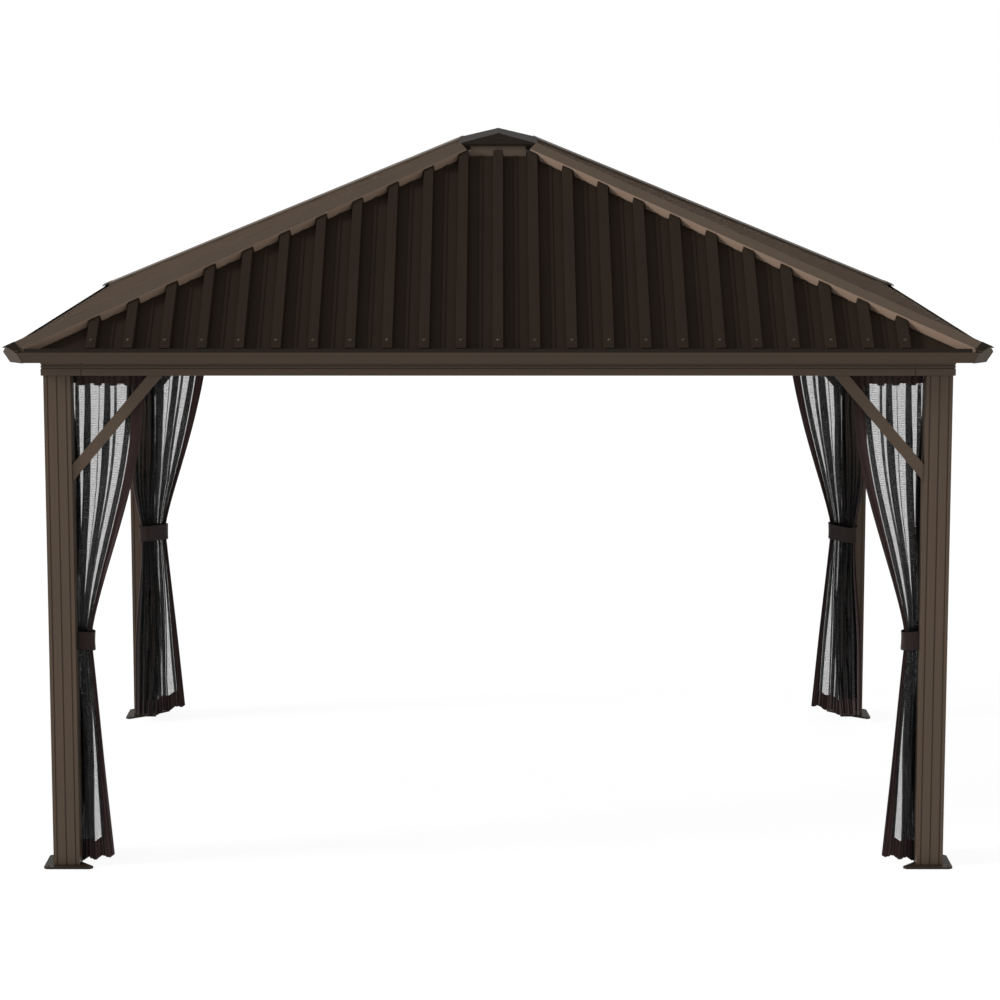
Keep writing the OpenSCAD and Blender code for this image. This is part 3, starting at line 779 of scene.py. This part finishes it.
def tie_strap(name, place, low, high, seed):
    """One soft tape, with its edges a little slack and creases where it turns; also its flat size."""
    sway = np.random.default_rng(seed).uniform(0, 2 * math.pi, 3)
    behind = (place["post"] - place["beam"]).dot(place["x_in"]) - STRAP_GAP
    half = [(NET_CLEAR, -behind), (STRAP_REACH, -behind), (STRAP_REACH, -STRAP_CORNER)]
    turns = [
        place["post"] + place["x_in"] * x + place["y_in"] * y
        for x, y in half + [(y, x) for x, y in reversed(half)]
    ]
    path = rounded(turns, STRAP_ROUND)
    middle = sum(path, Vector()) / len(path)
    runs = np.concatenate([[0], np.cumsum([(b - a).length for a, b in zip(path, path[1:])])])
    bm = bmesh.new()
    uv_layer = bm.loops.layers.uv.new("flat")
    grid = []
    for row in range(STRAP_ROWS):
        t = 2 * row / (STRAP_ROWS - 1) - 1
        line = []
        for point, run in zip(path, runs):
            out = (point - middle).normalized()
            slack = EDGE_SLACK * t * t + RIPPLE * math.sin(run / RIPPLE_LENGTH + sway[0] + 2 * t)
            long_wave = LONG_WAVE * math.sin(2 * math.pi * run / runs[-1] + sway[1])
            sag = long_wave - SHORT_WAVE * math.sin(run / SHORT_WAVE_LENGTH + sway[2])
            up = (low + high) / 2 + t * (high - low) / 2 + sag
            line.append(bm.verts.new(point + out * slack + Vector((0, 0, up))))
        grid.append(line)
    for row in range(STRAP_ROWS - 1):
        for k in range(len(path) - 1):
            around = ((row, k), (row, k + 1), (row + 1, k + 1), (row + 1, k))
            face = bm.faces.new([grid[r][c] for r, c in around])
            for loop, (r, c) in zip(face.loops, around):
                loop[uv_layer].uv = (runs[c], r / (STRAP_ROWS - 1) * (high - low))
    return new_piece(name, bm, [tie_cloth]), (runs[-1], high - low)


# First seeds of the nets across the front and rear, of the nets along the sides, and of the straps
ACROSS_SEED = 10
ALONG_SEED = 20
STRAP_SEED = 30
TIE_LOW, TIE_HIGH = (corner.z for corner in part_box("net_ties"))

for corner, label in enumerate(CORNERS):
    place = corner_frame(corner)
    hang = (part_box(f"{label}_nets")[1].z, TIE_LOW, TIE_HIGH, label.startswith("rear"))
    across, length = half_net(
        f"{label}_net_across", Vector((place["post"].x, place["beam"].y, 0)),
        place["x_in"], place["y_in"], hang, net_mesh, ACROSS_SEED + corner)
    # the nets along the sides use the darker copy of the net mesh: painted shade
    along, length = half_net(
        f"{label}_net_along", Vector((place["beam"].x, place["post"].y, 0)),
        place["y_in"], place["x_in"], hang, side_net_mesh_shaded, ALONG_SEED + corner)
    for net in (across, along):
        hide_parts(f"{label}_nets")
    strap, strap_flat = tie_strap(f"{label}_tie_strap", place, TIE_LOW, TIE_HIGH, STRAP_SEED + corner)
    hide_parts("net_ties")


# Floor, light and camera

FLOOR_HALF = 60
FLOOR_WHITE = (0.86, 0.86, 0.86, 1)
FLOOR_GLOW = 0.86
GLOW_STRENGTH = 1.06
AMBIENT = 0.66
# Brightness of the ceiling in reflections, and the heights between which it fades in
CEILING = 0.3
CEILING_FADE = (0.35, 0.85)
SUN_FROM = (-0.86, -0.20, 0.42)
SUN_STRENGTH = 2.5
SUN_ANGLE = 14
CAMERA_PLACE = (0, -12.8346, 3.1288)
CAMERA_TILT = 81.505
CAMERA_SENSOR = 36.0
CAMERA_LENS = 111.24
CAMERA_SHIFT = 0.0018
CAMERA_FAR = 200


def floor():
    """White floor that glows to the camera and in reflections, and still takes the shadow."""
    bm = bmesh.new()
    bmesh.ops.create_grid(bm, x_segments=1, y_segments=1, size=FLOOR_HALF)
    mesh = bpy.data.meshes.new("floor")
    bm.to_mesh(mesh)
    bm.free()
    piece = bpy.data.objects.new("floor", mesh)
    bpy.context.scene.collection.objects.link(piece)
    s = Shader("floor_white")
    s.bsdf.inputs["Base Color"].default_value = FLOOR_WHITE
    s.bsdf.inputs["Roughness"].default_value = 0.9
    glow = s.add("ShaderNodeEmission", Strength=GLOW_STRENGTH)
    path = s.add("ShaderNodeLightPath").outputs
    looked_at = s.math("MAXIMUM", path["Is Camera Ray"], path["Is Glossy Ray"])
    mixed = s.add("ShaderNodeMixShader")
    s.join(s.math("MULTIPLY", looked_at, FLOOR_GLOW), mixed.inputs[0])
    s.join(s.bsdf.outputs[0], mixed.inputs[1])
    s.join(glow.outputs[0], mixed.inputs[2])
    s.join(mixed.outputs[0], s.tree.nodes["Material Output"].inputs["Surface"])
    mesh.materials.append(s.material)


def world():
    """White studio: white to the camera and in reflections, which also show a darker ceiling."""
    scene_world = bpy.data.worlds.new("studio")
    bpy.context.scene.world = scene_world
    scene_world.use_nodes = True
    w = Nodes(scene_world.node_tree)
    background = w.tree.nodes["Background"]
    background.inputs["Color"].default_value = (1, 1, 1, 1)
    path = w.add("ShaderNodeLightPath").outputs
    upward = w.part(w.add("ShaderNodeTexCoord").outputs["Generated"], "Z")
    mirrored = w.span(upward, 1.0, CEILING, *CEILING_FADE)
    extra = w.math("MULTIPLY", path["Is Glossy Ray"], w.math("SUBTRACT", mirrored, AMBIENT))
    level = w.math("ADD", extra, AMBIENT)
    w.join(w.math("MAXIMUM", level, path["Is Camera Ray"]), background.inputs["Strength"])


def sun():
    """A soft sun from the left, in front and above."""
    light = bpy.data.lights.new("key_left", "SUN")
    light.energy = SUN_STRENGTH
    light.angle = math.radians(SUN_ANGLE)
    lamp = bpy.data.objects.new("key_left", light)
    lamp.rotation_euler = Vector(SUN_FROM).to_track_quat("Z", "Y").to_euler()
    bpy.context.scene.collection.objects.link(lamp)


def camera():
    data = bpy.data.cameras.new("camera")
    data.sensor_width = CAMERA_SENSOR
    data.lens = CAMERA_LENS
    data.shift_x = CAMERA_SHIFT
    data.clip_end = CAMERA_FAR
    eye = bpy.data.objects.new("camera", data)
    eye.location = CAMERA_PLACE
    eye.rotation_euler = (math.radians(CAMERA_TILT), 0, 0)
    bpy.context.scene.collection.objects.link(eye)
    bpy.context.scene.camera = eye


floor()
world()
sun()
camera()
bpy.context.scene.view_settings.view_transform = "Standard"
